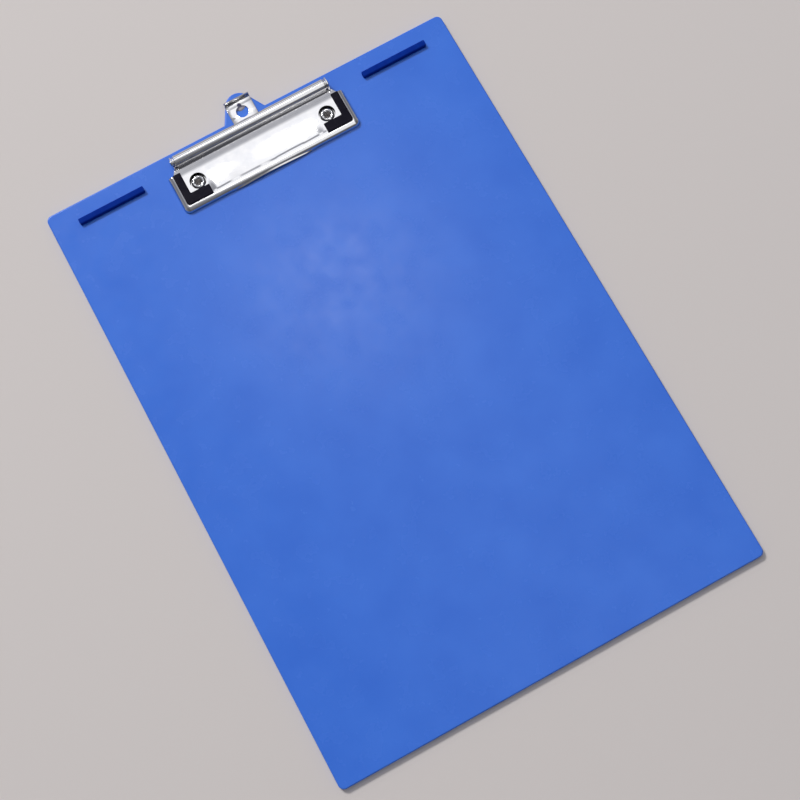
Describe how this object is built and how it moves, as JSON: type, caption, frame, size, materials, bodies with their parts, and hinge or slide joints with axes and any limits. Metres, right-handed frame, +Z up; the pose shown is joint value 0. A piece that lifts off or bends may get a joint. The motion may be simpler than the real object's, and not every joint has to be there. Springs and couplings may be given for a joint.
{
  "type": "clipboard",
  "caption": "Flat blue A4 clipboard with a low sprung nickel clip, black rubber corner grips, a hang tab and a pull-out hanging hook.",
  "frame": {"origin": "centre of the board's underside, measured on the 225 x 315 mm rectangle without the hang tab", "axes": "+X to the right, +Y towards the clip and the hang tab, +Z up out of the writing face"},
  "size_m": [0.225, 0.3282, 0.0097],
  "materials": {
    "board_plastic": "satin moulded polypropylene, mid blue",
    "stop_plastic": "satin moulded plastic, navy",
    "nickel_sheet": "bright nickel-plated pressed steel sheet",
    "nickel_base": "nickel-plated pressed steel",
    "nickel_hook": "bright nickel-plated steel strip",
    "nickel_rivet": "nickel-plated tubular rivet",
    "pin_steel": "drawn steel wire, headed at both ends",
    "spring_steel": "oiled music wire",
    "grip_rubber": "matt black moulded rubber"
  },
  "bodies": {
    "board_body": {"board": "board_plastic", "paper_stop_left": "stop_plastic", "paper_stop_right": "stop_plastic", "clip_base_plate": "nickel_base", "hinge_pin": "pin_steel", "torsion_spring": "spring_steel", "rivet_left": "nickel_rivet", "rivet_right": "nickel_rivet"},
    "clamp": {"clamp_plate": "nickel_sheet", "corner_grip_left": "grip_rubber", "corner_grip_right": "grip_rubber"},
    "hook": {"hanging_hook": "nickel_hook"}
  },
  "joints": [
    {"name": "clamp_hinge", "type": "hinge", "parent": "board_body", "child": "clamp", "pos_m": [0, 0.1508, 0.0069], "axis": [-1, 0, 0], "range_deg": [0, 45], "stiffness_Nm_per_rad": 0.0229, "springref_deg": -179.91, "deforming": ["torsion_spring"]},
    {"name": "hook_slide", "type": "slide", "parent": "board_body", "child": "hook", "axis": [0, 1, 0], "range_m": [0, 0.015]}
  ]
}
